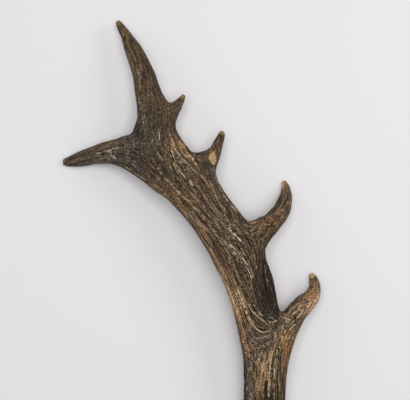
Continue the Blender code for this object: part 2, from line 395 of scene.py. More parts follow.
# The grain's direction everywhere near the antler, kept on a coarse lattice of tensors
class GrainField:
    def __init__(self, points, guides):
        self.cell = grain["cell"]
        self.low = points.min(axis=0) - 3 * self.cell
        high = points.max(axis=0) + 3 * self.cell
        self.counts = np.ceil((high - self.low) / self.cell).astype(int) + 1
        axes = [self.low[i] + self.cell * np.arange(self.counts[i]) for i in range(3)]
        places = np.stack(np.meshgrid(*axes, indexing="ij"), axis=-1).reshape(-1, 3)
        distances, tangents, _ = readBranches(places)
        share = shares(distances, grain["forkBlend"]) ** 2
        tensor = np.einsum("bi,bij,bik->ijk", share, tangents, tangents)
        for (x, y), reach, strength in grain["turns"]:
            away = places[:, :2] - (x, y)
            length = np.maximum(np.linalg.norm(away, axis=1), 1e-6)
            turn = np.stack([-away[:, 1] / length, away[:, 0] / length, 0 * length], axis=1)
            weight = strength * np.exp(-((length / reach) ** 2))
            tensor += weight[:, None, None] * np.einsum("ij,ik->ijk", turn, turn)
        away, _, ways, _ = guides.read(places)
        ways = np.column_stack([ways, 0 * away])
        weight = grain["guideStrength"] * np.exp(-((away / grain["guideReach"]) ** 2))
        tensor += weight[:, None, None] * np.einsum("ij,ik->ijk", ways, ways)
        picked = [tensor[:, i, j] for i, j in ((0, 0), (0, 1), (0, 2), (1, 1), (1, 2), (2, 2))]
        self.values = np.stack(picked, axis=1).astype(np.float32)

    # Turns a direction towards the grain at each place, keeping its sense
    def follow(self, points, direction):
        place = (points - self.low) / self.cell
        whole = np.clip(np.floor(place).astype(np.int64), 0, self.counts - 2)
        part = (place - whole).astype(np.float32)
        six = 0
        for corner in range(8):
            pick = np.array([(corner >> axis) & 1 for axis in range(3)])
            index = whole + pick
            flat = (index[:, 0] * self.counts[1] + index[:, 1]) * self.counts[2] + index[:, 2]
            weight = np.prod(np.where(pick, part, 1 - part), axis=1)
            six = six + weight[:, None] * self.values[flat]
        for _ in range(2):
            x, y, z = direction.T
            direction = np.stack([
                six[:, 0] * x + six[:, 1] * y + six[:, 2] * z,
                six[:, 1] * x + six[:, 3] * y + six[:, 4] * z,
                six[:, 2] * x + six[:, 4] * y + six[:, 5] * z,
            ], axis=1)
            direction /= np.maximum(np.linalg.norm(direction, axis=1), 1e-9)[:, None]
        return direction


# Random noise drawn out along the grain, one field for each kind of streak
def combedStreaks(points, direction, field):
    sums = {name: 0 for name in streaks}
    noises = {name: Noise(11 + i) for i, name in enumerate(streaks)}
    longest = max(reach for _, reach in streaks.values())
    for sense in (1, -1):
        place = points.copy()
        heading = direction * sense
        for count in range(int(longest / grain["step"]) + 1):
            gone = count * grain["step"]
            for name, (cell, reach) in streaks.items():
                everyNth = 3 if reach > 30 else 1
                if gone <= reach and count % everyNth == 0 and not (sense < 0 and count == 0):
                    window = 0.5 + 0.5 * math.cos(math.pi * gone / reach)
                    sums[name] = sums[name] + window * noises[name].at(place / cell)
            heading = field.follow(place, heading)
            place = place + heading * grain["step"]
    return {name: (total - total.mean()) / total.std() for name, total in sums.items()}


def rise(values, low, high):
    t = np.clip((values - low) / (high - low), 0.0, 1.0)
    return t * t * (3 - 2 * t)


# How rough the bark is at a branch's root and at its tip
barkAt = {
    "beam": (1.0, 0.80),
    "front": (0.85, 0.38),
    "top": (0.62, 0.25),
    "spur": (0.50, 0.20),
    "small": (0.60, 0.20),
    "middle": (0.85, 0.40),
    "brow": (1.0, 0.20),
}

# Coloured places on the outer side: x, y, half length along the grain, half width and strength,
# which below zero takes the colour away
patches = {
    "tan": [
        (64.5, -110.0, 14.0, 5.0, 0.5),
        (64.5, -138.0, 30.0, 7.0, 0.85),
        (37.0, -44.0, 16.0, 5.5, 1.0),
        (89.0, 39.0, 8.0, 3.0, 0.4),
        (45.5, -63.0, 12.0, 5.0, 0.6),
        (32.0, -25.0, 14.0, 6.0, 1.0),
        (13.0, 5.0, 18.0, 5.0, 0.7),
        (9.0, 19.0, 12.0, 4.0, 0.5),
        (1.0, 37.0, 9.0, 8.0, 0.5),
        (20.0, 90.0, 6.0, 3.0, 0.25),
        (-54.0, 68.5, 9.0, 3.0, 0.4),
        (95.0, -66.0, 10.0, 4.0, 0.4),
        (33.0, 31.0, 8.0, 4.0, 0.45),
        (80.0, -116.0, 10.0, 3.0, 0.3),
        (9.0, 61.0, 10.0, 5.0, 0.2),
        (28.0, 34.0, 12.0, 5.0, 0.5),
        (57.0, 19.0, 10.0, 6.0, 0.4),
        (67.0, -98.0, 10.0, 6.0, 1.1),
        (60.0, -113.0, 16.0, 5.0, 0.7),
        (-57.0, 190.0, 8.0, 4.0, 0.5),
        (48.5, -85.0, 18.0, 5.5, 0.85),
        (-44.0, 134.0, 20.0, 3.0, 0.15),
        (-53.5, 171.0, 16.0, 3.0, 0.35),
        (13.0, 62.0, 9.0, 3.5, 0.5),
        (26.0, 62.0, 12.0, 3.0, 0.8),
        (-18.0, 54.0, 12.0, 3.0, 0.45),
        (-68.0, 93.0, 12.0, 2.5, 0.6),
        (86.0, 24.0, 12.0, 4.0, 0.4),
        (108.0, -38.0, 10.0, 4.5, 0.75),
        (99.0, -58.0, 16.0, 7.0, 0.6),
        (104.0, -42.0, 8.0, 5.0, 0.6),
        (90.0, -86.0, 10.0, 4.0, 0.6),
        (-29.0, 50.0, 12.0, 4.0, 0.5),
    ],
    "strawAndSheen": [
        (41.5, -49.5, 11.0, 4.5, 1.2),
        (31.5, -33.0, 11.0, 3.5, 0.8),
        # Painted sheen along the brow tine's outer edge, in this row and the next
        (111.5, -51.0, 11.0, 3.5, 0.8),
        (114.0, -43.0, 9.0, 3.5, 0.35),
        # A painted highlight on the middle tine's tip
        (85.0, 55.5, 6.0, 2.2, 0.9),
        (67.0, -98.0, 9.0, 5.0, 0.4),
    ],
    "gold": [
        (86.5, -78.5, 12.0, 4.5, 1.0),
        (84.0, -92.0, 8.0, 3.5, 0.6),
        (-15.5, 92.0, 8.0, 1.6, 0.7),
        (-2.5, 84.0, 14.0, 3.2, 1.1),
        (-18.0, 58.0, 8.0, 3.5, 0.3),
        (-14.0, 43.0, 9.0, 3.0, 0.3),
    ],
    "cream": [
        (92.0, -60.5, 12.0, 7.0, 0.7),
        (80.0, -84.0, 16.0, 3.5, 0.8),
        (-17.0, 80.0, 15.0, 6.0, 0.65),
        (-2.5, 84.0, 12.0, 3.0, 1.0),
        (-43.5, 133.0, 27.0, 3.0, 0.6),
        (38.0, 8.0, 18.0, 6.0, 0.45),
        (50.0, -14.0, 20.0, 8.0, 0.45),
        (70.0, -32.0, 26.0, 7.0, -0.3),
        (18.0, 22.0, 24.0, 10.0, 0.25),
        (53.0, -125.0, 40.0, 5.0, 0.6),
        (73.5, -116.0, 20.0, 3.0, 0.65),
        (64.0, -80.0, 12.0, 8.0, 0.1),
        (-70.0, 84.0, 10.0, 4.0, 0.5),
        (-30.0, 72.0, 22.0, 3.0, 0.4),
    ],
    "dark": [
        (72.0, -46.0, 24.0, 6.5, 1.4),
        (73.0, -61.5, 8.0, 4.5, 1.0),
        (69.0, -23.0, 16.0, 5.0, 1.0),
        (50.0, -125.0, 40.0, 4.5, 0.45),
        (83.0, -132.0, 34.0, 3.5, 0.25),
        (15.0, 72.0, 5.5, 4.0, 1.0),
        (-31.5, 146.0, 32.0, 5.0, 0.3),
        (-50.0, 104.0, 7.0, 5.0, 0.5),
        (-48.0, 83.0, 18.0, 12.0, 0.35),
        (-46.0, 79.0, 14.0, 5.0, 0.25),
        (-33.0, 101.0, 8.0, 6.0, 0.3),
        (60.0, -34.0, 20.0, 5.0, 0.7),
        (46.0, 27.0, 8.0, 4.0, 0.35),
        (-34.0, 82.0, 8.0, 6.0, 0.3),
        (69.0, -139.0, 11.0, 12.0, 1.1),
        (74.5, -137.0, 9.0, 4.0, 0.5),
        (92.0, -66.0, 14.0, 4.5, 0.5),
        (90.5, -71.5, 9.0, 5.0, 0.7),
        (-20.0, 104.0, 10.0, 5.0, 0.5),
        (19.0, 26.0, 8.0, 5.0, 0.2),
        (3.0, 68.0, 10.0, 5.0, 0.35),
        (41.0, 13.0, 8.0, 5.0, 0.3),
        (55.0, -75.0, 9.0, 5.0, 0.3),
        (72.0, -56.0, 8.0, 6.0, 1.1),
        (62.0, -54.0, 14.0, 7.0, 0.7),
        (31.0, 7.0, 9.0, 5.0, 0.4),
        (30.0, 46.0, 8.0, 5.0, 0.6),
        (77.5, -95.0, 9.0, 6.0, 0.9),
        (61.5, -91.0, 8.0, 7.0, 0.35),
        (-41.0, 114.0, 18.0, 8.0, 0.5),
        (-28.0, 118.0, 14.0, 12.0, 0.25),
        (4.0, 83.0, 10.0, 5.0, 0.8),
        (65.0, -78.0, 12.0, 9.0, 0.45),
        (50.0, 1.0, 14.0, 7.0, 0.4),
        (-22.0, 65.0, 22.0, 9.0, 0.8),
        (58.0, -8.0, 12.0, 6.0, 0.4),
        (-50.0, 161.0, 12.0, 4.0, 0.3),
    ],
    "grey": [
        (-46.0, 86.0, 20.0, 15.0, 1.0),
        (-62.0, 83.0, 22.0, 8.0, 0.6),
        (-95.0, 79.0, 24.0, 9.0, 0.5),
        (15.0, 71.0, 6.5, 5.0, 1.0),
        (30.0, 30.0, 30.0, 8.0, 0.4),
        (64.5, -86.0, 12.0, 10.0, 0.8),
        (52.0, -135.0, 34.0, 5.0, 0.5),
    ],
    "red": [
        (-34.0, 72.0, 7.0, 5.5, 1.0),
        (35.0, -28.0, 12.0, 4.0, 0.5),
        (76.0, 24.0, 14.0, 6.0, 0.4),
        (84.5, -100.0, 14.0, 3.0, 0.6),
        (109.0, -36.0, 9.0, 4.0, 0.5),
    ],
}


# Where the bark is mottled and pitted more than combed: x, y, half length, half width, strength
mottledPlaces = [
    (-44.0, 84.0, 26.0, 20.0, 1.0),
    (-20.0, 66.0, 24.0, 18.0, 0.8),
    (-34.0, 118.0, 30.0, 14.0, 0.7),
    (14.0, 72.0, 7.0, 6.0, 1.0),
    (62.0, -88.0, 12.0, 10.0, 0.6),
    (52.0, -128.0, 40.0, 6.0, 0.5),
    (-90.0, 81.0, 30.0, 10.0, 0.4),
]


# A mask that is one at the places of a list and fades out round them
def patchMask(places, points, direction, normals):
    total = np.zeros(len(points))
    for x, y, halfLength, halfWidth, strength in places:
        away = points - (x, y, 0.0)
        away[:, 2] = 0.0
        ahead = np.sum(away * direction, axis=1)
        beside = np.sqrt(np.maximum(np.sum(away**2, axis=1) - ahead**2, 0.0))
        total += strength * np.exp(-((ahead / halfLength) ** 2) - (beside / halfWidth) ** 2)
    return total * rise(normals[:, 2], -0.2, 0.3)


# Lines that the rest of the grain keeps to, as points x, y in mm. The number in front says
# how high and pale the crest is rubbed, or below zero how deep a furrow runs there
crests = [
    (1.0, [(42.5, -37.5), (47.2, -48.5), (50.8, -58.5), (54.2, -66.0),
           (58.6, -72.3), (64.8, -75.4), (71.5, -74.0)]),
    (0.7, [(51.5, -50.5), (55.0, -56.5), (59.6, -61.2), (64.8, -65.2), (70.5, -67.2), (76.5, -65.5)]),
    (0.5, [(56.5, -50.5), (61.0, -57.0), (66.4, -61.6), (72.5, -63.4)]),
    (0.45, [(52.0, -73.5), (56.4, -79.2), (60.9, -81.3), (66.8, -79.5)]),
    (0.3, [(55.5, -83.0), (59.5, -86.2), (63.6, -87.6), (70.0, -84.5)]),
    (1.0, [(33.9, 16.8), (37.0, 13.8), (40.2, 10.5), (44.7, 5.6)]),
    (0.9, [(36.0, 2.5), (41.1, -3.0), (45.6, -8.4), (50.1, -14.7)]),
    (0.9, [(50.6, -17.8), (52.2, -21.6), (53.9, -26.0)]),
    (0.6, [(16.0, 22.0), (20.4, 15.0), (26.7, 6.0), (33.0, -3.9)]),
    (0.7, [(55.2, -1.5), (56.8, -7.0), (58.2, -13.5), (59.2, -20.0)]),
    (0.5, [(66.3, -17.0), (67.3, -26.0), (69.6, -36.0)]),
    (0.4, [(71.2, -34.0), (73.3, -43.0), (75.3, -51.0)]),
    (0.6, [(74.4, -84.0), (78.0, -75.0), (83.4, -66.0), (89.7, -57.9), (96.9, -51.4)]),
    (0.6, [(82.0, -73.0), (87.9, -64.6), (95.1, -58.4), (99.6, -52.7)]),
    (0.4, [(85.0, -76.5), (89.7, -69.2), (96.0, -64.4), (101.4, -58.1), (107.0, -51.7)]),
    (0.6, [(80.0, -77.0), (77.6, -83.5), (74.4, -91.2), (71.7, -100.2),
           (70.6, -111.0), (69.9, -124.5), (69.7, -140.0)]),
    (0.5, [(77.6, -90.0), (75.6, -102.0), (74.7, -112.8), (75.3, -124.5), (74.8, -140.0)]),
    (0.3, [(63.6, -95.0), (60.9, -103.8), (59.6, -115.5), (59.4, -129.0), (59.8, -142.0)]),
    (0.9, [(-27.9, 101.5), (-27.3, 95.5)]),
    (0.6, [(-19.2, 103.2), (-16.5, 95.1), (-12.9, 86.1), (-6.6, 78.0), (-0.3, 71.7), (6.9, 65.4)]),
    (0.8, [(-16.8, 86.0), (-13.4, 76.0), (-10.2, 69.0), (-3.9, 61.8), (2.0, 55.0)]),
    (0.9, [(-9.3, 93.3), (-3.9, 85.2), (0.6, 79.8), (5.1, 74.4)]),
    (0.5, [(-21.0, 60.0), (-13.8, 51.8), (-4.8, 43.8), (4.2, 34.6), (11.4, 25.4)]),
    (0.7, [(-58.0, 71.8), (-47.0, 64.5), (-36.3, 57.6), (-27.3, 50.3), (-18.3, 41.5), (-9.0, 32.5)]),
    (0.7, [(-0.3, 29.0), (6.0, 21.2), (11.4, 12.5), (17.7, 3.0)]),
    (0.5, [(20.5, 68.0), (23.1, 60.0), (27.6, 49.2), (33.9, 39.3), (41.5, 31.0)]),
    (0.7, [(-85.0, 84.3), (-72.3, 87.5), (-65.1, 89.1)]),
    (0.6, [(-81.3, 79.8), (-72.3, 80.3), (-63.5, 78.6)]),
    (0.4, [(-48.0, 159.0), (-45.3, 145.5), (-43.5, 127.5), (-41.7, 109.5)]),
    (-0.8, [(36.5, 19.5), (41.8, 13.2), (46.4, 6.8), (48.2, -1.0)]),
    (-0.7, [(45.6, -35.0), (50.2, -46.5), (53.4, -57.5), (57.2, -64.8), (62.2, -69.8), (69.0, -70.8)]),
    (-0.8, [(58.8, -47.0), (63.2, -54.2), (68.6, -58.8)]),
    (-0.7, [(58.5, -100.0), (57.0, -110.0), (56.4, -121.0), (57.2, -140.0)]),
    (-0.8, [(74.0, -99.0), (72.7, -111.0), (72.5, -126.0), (72.2, -140.0)]),
    (-0.8, [(79.9, -91.0), (78.4, -104.0), (78.0, -118.0), (78.6, -140.0)]),
    (-0.7, [(-15.0, 98.5), (-11.1, 88.0), (-5.6, 80.9), (0.6, 74.8), (6.0, 69.5)]),
    (-0.7, [(-18.3, 53.7), (-11.1, 46.5), (-3.0, 37.5), (5.1, 28.5),
            (13.2, 17.7), (20.4, 6.0), (27.6, -4.8)]),
    (-0.6, [(-46.0, 68.5), (-35.0, 60.8), (-25.6, 53.0), (-16.0, 43.5)]),
    (-0.6, [(15.9, 51.0), (23.1, 37.5), (30.3, 25.8), (34.0, 21.5)]),
    (-0.5, [(28.8, 52.0), (32.5, 45.5), (39.0, 36.8)]),
    (-0.6, [(63.0, 10.5), (69.9, 17.5), (77.1, 23.5)]),
    (-0.9, [(63.5, 6.0), (61.8, -8.0), (61.2, -21.0), (62.3, -34.5), (65.6, -47.0), (70.6, -57.0)]),
    (-0.9, [(68.5, -6.0), (69.5, -16.0), (72.0, -28.0), (75.5, -41.0), (77.8, -53.0)]),
    (-0.9, [(84.8, -68.2), (90.8, -60.4), (96.2, -55.2)]),
    (-0.8, [(88.2, -70.0), (93.0, -64.4), (99.0, -58.9)]),
]

# Where the bark has come off a small flake above a crotch, and shows smooth bone: corners x, y
flake = [(22.6, 86.8), (23.6, 76.2), (21.2, 73.8), (16.3, 79.2), (18.5, 84.0)]

# Worn tips: x, y, how far the wear reaches, strength
wornTips = [
    (110.6, -25.6, 4.2, 1.0),
    (-118.0, 78.5, 2.6, 0.6),
    (-66.8, 205.0, 4.0, 0.3),
    (85.5, 58.6, 3.8, 0.45),
    (28.7, 104.0, 3.5, 0.5),
    (-5.8, 137.0, 3.5, 0.45),
]


class Guides:
    def __init__(self, spacing=0.8):
        curves = [(pale, smoothLine(rows, spacing)) for pale, rows in crests]
        self.places = np.vstack([curve for _, curve in curves])
        self.ways = np.vstack([np.gradient(curve, axis=0) for _, curve in curves])
        self.ways /= np.linalg.norm(self.ways, axis=1)[:, None]
        self.pale = np.concatenate([np.full(len(curve), pale) for pale, curve in curves])

    # Distance to the nearest line, the same with a side to it, its direction and its paleness
    def read(self, points):
        found = []
        for chunk in np.array_split(points[:, :2], max(1, len(points) // 20000)):
            square = (chunk**2).sum(axis=1)[:, None] - 2 * chunk @ self.places.T
            near = (square + (self.places**2).sum(axis=1)).argmin(axis=1)
            offset = chunk - self.places[near]
            ways = self.ways[near]
            sided = offset[:, 0] * ways[:, 1] - offset[:, 1] * ways[:, 0]
            distance = np.linalg.norm(offset, axis=1)
            found.append(np.column_stack([distance, sided, ways, self.pale[near]]))
        found = np.vstack(found)
        return found[:, 0], found[:, 1], found[:, 2:4], found[:, 4]


# How far inside the flake's outline a point lies, mm
def insideFlake(points):
    corners = np.array(flake)
    middle = corners.mean(axis=0)
    inside = np.full(len(points), 1e9)
    for start, stop in zip(corners, np.roll(corners, -1, axis=0)):
        inward = np.array([start[1] - stop[1], stop[0] - start[0]])
        inward /= np.linalg.norm(inward)
        inward *= np.sign(inward @ (middle - start))
        inside = np.minimum(inside, (points[:, :2] - start) @ inward)
    return inside


def boneMask(points, normals):
    uneven = 0.4 * Noise(45).at(points / cells["flakeEdge"])
    total = rise(insideFlake(points) + uneven, -0.4, 0.3) * rise(normals[:, 2], 0.1, 0.4)
    for x, y, reach, strength in wornTips:
        away = np.linalg.norm(points[:, :2] - (x, y), axis=1)
        total = np.maximum(total, strength * rise(reach - away + uneven, -0.6, 1.4))
    return total


# How rough the bark is at each point, from the branches' roots to their tips
def barkRoughness(share, places):
    rough = np.zeros(share.shape[1])
    for i, name in enumerate(limbs):
        root, tip = barkAt[name]
        gone = np.clip(places[i, :, 0] / limbs[name].along[-1], 0.0, 1.0)
        rough += share[i] * (root + (tip - root) * gone)
    return rough


# What the carving and the colours are worked out from, at each point of the skin
class BarkReading:
    def __init__(self, points, normals):
        distances, tangents, places = readBranches(points)
        share = shares(distances, skin["branchBlend"])
        blended = np.einsum("bi,bij->ij", share, tangents)
        guides = Guides()
        field = GrainField(points, guides)
        direction = field.follow(points, blended / np.linalg.norm(blended, axis=1)[:, None])
        for _ in range(grain["settleRounds"]):
            direction = field.follow(points, direction)
        self.points = points
        self.normals = normals
        self.direction = direction
        self.combed = combedStreaks(points, direction, field)
        self.rough = barkRoughness(share, places)
        self.onBeam = share[list(limbs).index("beam")]
        self.outside = rise(normals[:, 2], 0.0, 0.4)
        self.bone = boneMask(points, normals)
        self.mottle = np.clip(self.patch(mottledPlaces), 0.0, 1.0)
        self.away, sided, _, self.pale = guides.read(points)
        self.holdRidges(sided)

    def patch(self, places):
        return patchMask(places, self.points, self.direction, self.normals)

    # Makes the ridges beside a crest or a furrow keep to it
    def holdRidges(self, sided):
        hold = np.exp(-((self.away / relief["crestReach"]) ** 2)) * self.outside
        beside = sided / relief["crestSpread"]
        wanted = np.where(self.pale > 0, beside, relief["furrowTop"] - self.away)
        self.combed["ridge"] = self.combed["ridge"] * (1 - hold) + wanted * hold

    def rubbedCrests(self):
        near = np.exp(-((self.away / relief["rubbedHalfWidth"]) ** 2))
        rubbed = np.maximum(self.pale, 0) * near * self.outside
        return rubbed * rise(Noise(41).at(self.points / cells["crestBreaks"]), -1.3, -0.1)

    def furrows(self):
        near = np.exp(-((self.away / relief["furrowHalfWidth"]) ** 2))
        furrow = np.maximum(-self.pale, 0) * near * self.outside
        return furrow * rise(Noise(43).at(self.points / cells["furrowBreaks"]), -1.5, 0.3)


# Ridges stand up, gutters are sunk, and pearls sit low on the beam and where it is mottled
def combedHeight(reading):
    lower = reading.onBeam * rise(-reading.points[:, 1], -60.0, 90.0)
    uneven = Noise(31).at(reading.points / cells["unevenness"])
    gutter = rise(reading.combed["gutter"], 0.2, 1.8)
    offRidge = np.abs(reading.combed["ridge"]) / relief["ridgeSpread"]
    ridge = 1.0 - np.minimum(offRidge, 1.0)
    pearls = Noise(32).at(reading.points / cells["pearls"]) + 0.4 * reading.combed["fine"]
    pearls = rise(pearls, 0.5, 1.6)
    height = -relief["gutterDepth"] * gutter
    height += relief["ridgeHeight"] * (ridge - 0.4) * (0.7 + 0.3 * uneven)
    height *= 1 - relief["mottleSmooths"] * reading.mottle
    height += relief["fineHeight"] * reading.combed["fine"]
    height += relief["pearlHeight"] * pearls * (0.25 + 0.75 * lower + 0.4 * reading.mottle)
    return height


# How far the bark stands out from the skin: smoother on the stub, knobbly on the burr
def barkHeight(reading):
    footward = np.array(skin["footFaces"]) / np.linalg.norm(skin["footFaces"])
    ahead = (reading.points - skin["footAt"]) @ footward
    stub = rise(ahead, foot["stubFrom"], foot["stubFull"])
    burr = np.exp(-(((ahead - foot["burrAt"]) / foot["burrReach"]) ** 2))
    burrPearls = rise(Noise(33).at(reading.points / cells["burrPearls"]), -0.2, 1.6)
    height = combedHeight(reading) * reading.rough * (1 - foot["stubSmooths"] * stub)
    height += relief["burrPearlHeight"] * burr * burrPearls
    height += relief["rubbedHeight"] * reading.rubbedCrests()
    height -= relief["furrowDepth"] * reading.furrows()
    height *= 1 - relief["boneSmooths"] * reading.bone
    return height - relief["flakeDepth"] * reading.bone


# Where the bark is stained, rubbed, worn or bare, and where shade is painted on the sides and in the
# hollows, from 0 to 1
def barkMasks(reading, height, edges):
    up = reading.normals[:, 2]
    wide = Noise(34).at(reading.points / cells["stainsAndShade"])
    hidden = 1 - rise(up, -0.2, 0.4)
    masks = {name: reading.patch(places) for name, places in patches.items()}
    masks["tan"] += stainsAndShade["hiddenTan"] * hidden * rise(reading.combed["gutter"], 0.3, 1.5)
    masks["tan"] += stainsAndShade["wideTan"] * rise(wide, 0.2, 1.4)
    # Painted shade: faces turned to the side are darkened as less light falls on them, less where tan
    # or pale patches lie
    shadedFlank = rise(-up, -0.56, -0.2) * rise(up, -0.6, -0.1)
    shadedFlank *= 1 - 0.7 * np.clip(masks["tan"] + masks["strawAndSheen"], 0.0, 1.0)
    masks["dark"] += stainsAndShade["wideDark"] * rise(-wide, 0.3, 1.6) + stainsAndShade["flankShade"] * shadedFlank
    masks["cream"] *= stainsAndShade["placedCream"]
    masks["cream"] += stainsAndShade["allCream"] + stainsAndShade["hiddenCream"] * hidden
    masks["cream"] *= np.clip(reading.rough * 1.3, 0.0, 1.0)
    masks["mottle"] = reading.mottle
    masks["rubbed"] = reading.rubbedCrests()
    masks["bone"] = reading.bone
    # Hollows of the relief: the dark stain that lies in them, and painted shade where less light
    # reaches
    masks["hollowStainAndShade"] = rise(softened(height, edges, relief["grooveRounds"]) - height, 0.02, 0.32)
    masks["polish"] = 1 - reading.rough
    return masks


# The combed fields that the finest lines are drawn from
def lineFields(reading, edges):
    fields = {name + "Field": reading.combed[name] for name in ("fine", "line", "weave")}
    steep = steepness(reading.combed["ridge"], reading.points, edges)
    fields["ridgeField"] = reading.combed["ridge"] / np.maximum(steep, 0.15)  # mm from the crest
    return fields


def addFloats(mesh, name, values):
    layer = mesh.attributes.new(name, "FLOAT", "POINT")
    layer.data.foreach_set("value", values.astype(np.float32))


def addVector(mesh, name, values):
    layer = mesh.attributes.new(name, "FLOAT_VECTOR", "POINT")
    layer.data.foreach_set("vector", values.astype(np.float32).ravel())


# The faces past a plane that hang together with the tine's tip
def tineBeyond(bm, tip, place, wayOut):
    bm.verts.ensure_lookup_table()
    past = {v for v in bm.verts if (v.co / mm - place).dot(wayOut) > 0.0}
    first = min(past, key=lambda v: (v.co / mm - tip).length).link_faces[0]
    found = {first}
    edgeOfSearch = [first]
    while edgeOfSearch:
        face = edgeOfSearch.pop()
        for corner in face.verts:
            if corner in past:
                for beside in corner.link_faces:
                    if beside not in found:
                        found.add(beside)
                        edgeOfSearch.append(beside)
    return found


# Cuts across a tine's root and gives the tine's faces their own number
def cutTine(bm, number, node, pieceOf):
    branch, place, wayOut = partings[node]
    place = Vector(place)
    wayOut = Vector(wayOut).normalized()
    tip = Vector(branches[branch][-1][:3])
    tine = tineBeyond(bm, tip, place, wayOut)
    edgesOfTine = {e for f in tine for e in f.edges}
    corners = {v for f in tine for v in f.verts}
    bmesh.ops.bisect_plane(
        bm, geom=[*tine, *edgesOfTine, *corners], plane_co=place * mm, plane_no=wayOut
    )
    for face in tineBeyond(bm, tip, place + wayOut * 0.001, wayOut):
        if (face.calc_center_median() / mm - place).dot(wayOut) > 0.0:
            face[pieceOf] = number


# Saws the foot off flat and closes it with a face of its own material
def sawFoot(bm):
    footward = Vector(skin["footFaces"]).normalized()
    bmesh.ops.bisect_plane(
        bm,
        geom=bm.verts[:] + bm.edges[:] + bm.faces[:],
        plane_co=Vector(skin["footAt"]) * mm - footward * skin["footTrim"] * mm,
        plane_no=Vector(skin["footFaces"]),
        clear_outer=True,
    )
    rim = [e for e in bm.edges if e.is_boundary]
    for face in bmesh.ops.holes_fill(bm, edges=rim)["faces"]:
        face.material_index = 1


# One node's share of the skin, closed where it was cut off
def makePiece(whole, number, node):
    part = bmesh.new()
    part.from_mesh(whole.data)
    pieceOf = part.faces.layers.int["pieceOf"]
    others = [f for f in part.faces if f[pieceOf] != number]
    bmesh.ops.delete(part, geom=others, context="FACES")
    rims = [e for e in part.edges if e.is_boundary]
    caps = bmesh.ops.holes_fill(part, edges=rims)["faces"]
    sawn = [f for f in part.faces if f.material_index == 1]
    bmesh.ops.triangulate(part, faces=caps + sawn)
    for face in part.faces:
        face.smooth = face.material_index == 0
    mesh = bpy.data.meshes.new(node + "Bark")
    part.to_mesh(mesh)
    part.free()
    piece = bpy.data.objects.new(node + "Bark", mesh)
    bpy.context.scene.collection.objects.link(piece)
    return piece


# Faces are numbered by their node's place in the list. The beam is first, so its faces keep 0
def splitAtForks(whole, nodeNames):
    bm = bmesh.new()
    bm.from_mesh(whole.data)
    pieceOf = bm.faces.layers.int.new("pieceOf")
    sawFoot(bm)
    for number, node in enumerate(nodeNames):
        if node in partings:
            cutTine(bm, number, node, pieceOf)
    bm.to_mesh(whole.data)
    bm.free()
    pieces = [makePiece(whole, number, node) for number, node in enumerate(nodeNames)]
    bpy.data.objects.remove(whole)
    return pieces


# Shades the pieces as the uncut skin was, so that no cut shows
def keepEvenNormals(mesh):
    stored = np.zeros(len(mesh.vertices) * 3, np.float32)
    mesh.attributes["evenNormal"].data.foreach_get("vector", stored)
    stored = stored.reshape(-1, 3)
    cornerVertex = np.zeros(len(mesh.loops), np.int64)
    mesh.loops.foreach_get("vertex_index", cornerVertex)
    counts = np.zeros(len(mesh.polygons), np.int64)
    mesh.polygons.foreach_get("loop_total", counts)
    slots = np.zeros(len(mesh.polygons), np.int64)
    mesh.polygons.foreach_get("material_index", slots)
    flat = np.zeros(len(mesh.polygons) * 3, np.float32)
    mesh.polygons.foreach_get("normal", flat)
    faceOfCorner = np.repeat(np.arange(len(counts)), counts)
    chosen = stored[cornerVertex]
    sawn = slots[faceOfCorner] == 1
    chosen[sawn] = flat.reshape(-1, 3)[faceOfCorner[sawn]]
    chosen /= np.maximum(np.linalg.norm(chosen, axis=1), 1e-9)[:, None]
    mesh.normals_split_custom_set(chosen)
    mesh.attributes.remove(mesh.attributes["evenNormal"])


# A screen colour as the linear colour that a shader wants
def shade(*screen):
    linear = [((part / 255 + 0.055) / 1.055) ** 2.4 for part in screen]
    return (*linear, 1.0)


bark = {
    "base": shade(76, 60, 43),
    "tan": shade(146, 115, 82),
    # pale worn tan, which also paints a sheen and a highlight on two tines
    "strawAndSheen": shade(210, 172, 130),
    "gold": shade(152, 108, 62),
    "grey": shade(78, 72, 65),
    "red": shade(106, 73, 53),
    # dark is also the colour of the painted shade on the sides
    "dark": shade(28, 23, 18),
    # the stain in the hollows, which also stands for the shade there, and the colour of the cracks
    "hollowStainAndShade": shade(36, 27, 19),
    "cream": shade(246, 226, 190),
    "bone": shade(208, 168, 120),
    "darkestLine": 0.35,  # the lines' tone, as a share of the bark's
    "palestLine": 3.7,
    "middleLine": 0.45,
    "valleyShade": -0.22,
    "polishSoftens": -0.5,
    "tanSoftens": -0.2,
    "stainOnLines": 0.35,  # how much more of a stain the pale lines take
    "stainBetween": 0.6,
    "grooveShade": 0.8,
    "speckShade": 0.8,
    "linesAcross": 3.7,
    "linesPerMetre": 70.0,  # how soon the finest lines change along the grain
    "mottlesPerMetre": 560.0,
    "poresPerMetre": 1150.0,
    "poreContrast": 1.4,
    "threadContrast": 0.085,
    "breaksPerMetre": 280.0,
    "flecksPerMetre": 210.0,
    "roughBark": 0.74,
    "polishedTine": 0.42,
    "lineHeight": 0.00022,
}


def newGroup(name, inputs, outputs):
    tree = bpy.data.node_groups.new(name, "ShaderNodeTree")
    for label, kind in inputs:
        tree.interface.new_socket(label, in_out="INPUT", socket_type="NodeSocket" + kind)
    for label, kind in outputs:
        tree.interface.new_socket(label, in_out="OUTPUT", socket_type="NodeSocket" + kind)
    return tree, tree.nodes.new("NodeGroupInput"), tree.nodes.new("NodeGroupOutput")


# Links a node's output to a socket, or sets the socket to a plain value
def setSocket(tree, socket, value):
    if isinstance(value, bpy.types.NodeSocket):
        tree.links.new(value, socket)
    else:
        socket.default_value = value


def mixColours(tree, below, above, amount):
    node = tree.nodes.new("ShaderNodeMix")
    node.data_type = "RGBA"
    node.clamp_factor = True
    for label, value in (("Factor", amount), ("A", below), ("B", above)):
        setSocket(tree, node.inputs[label], value)
    return node.outputs["Result"]


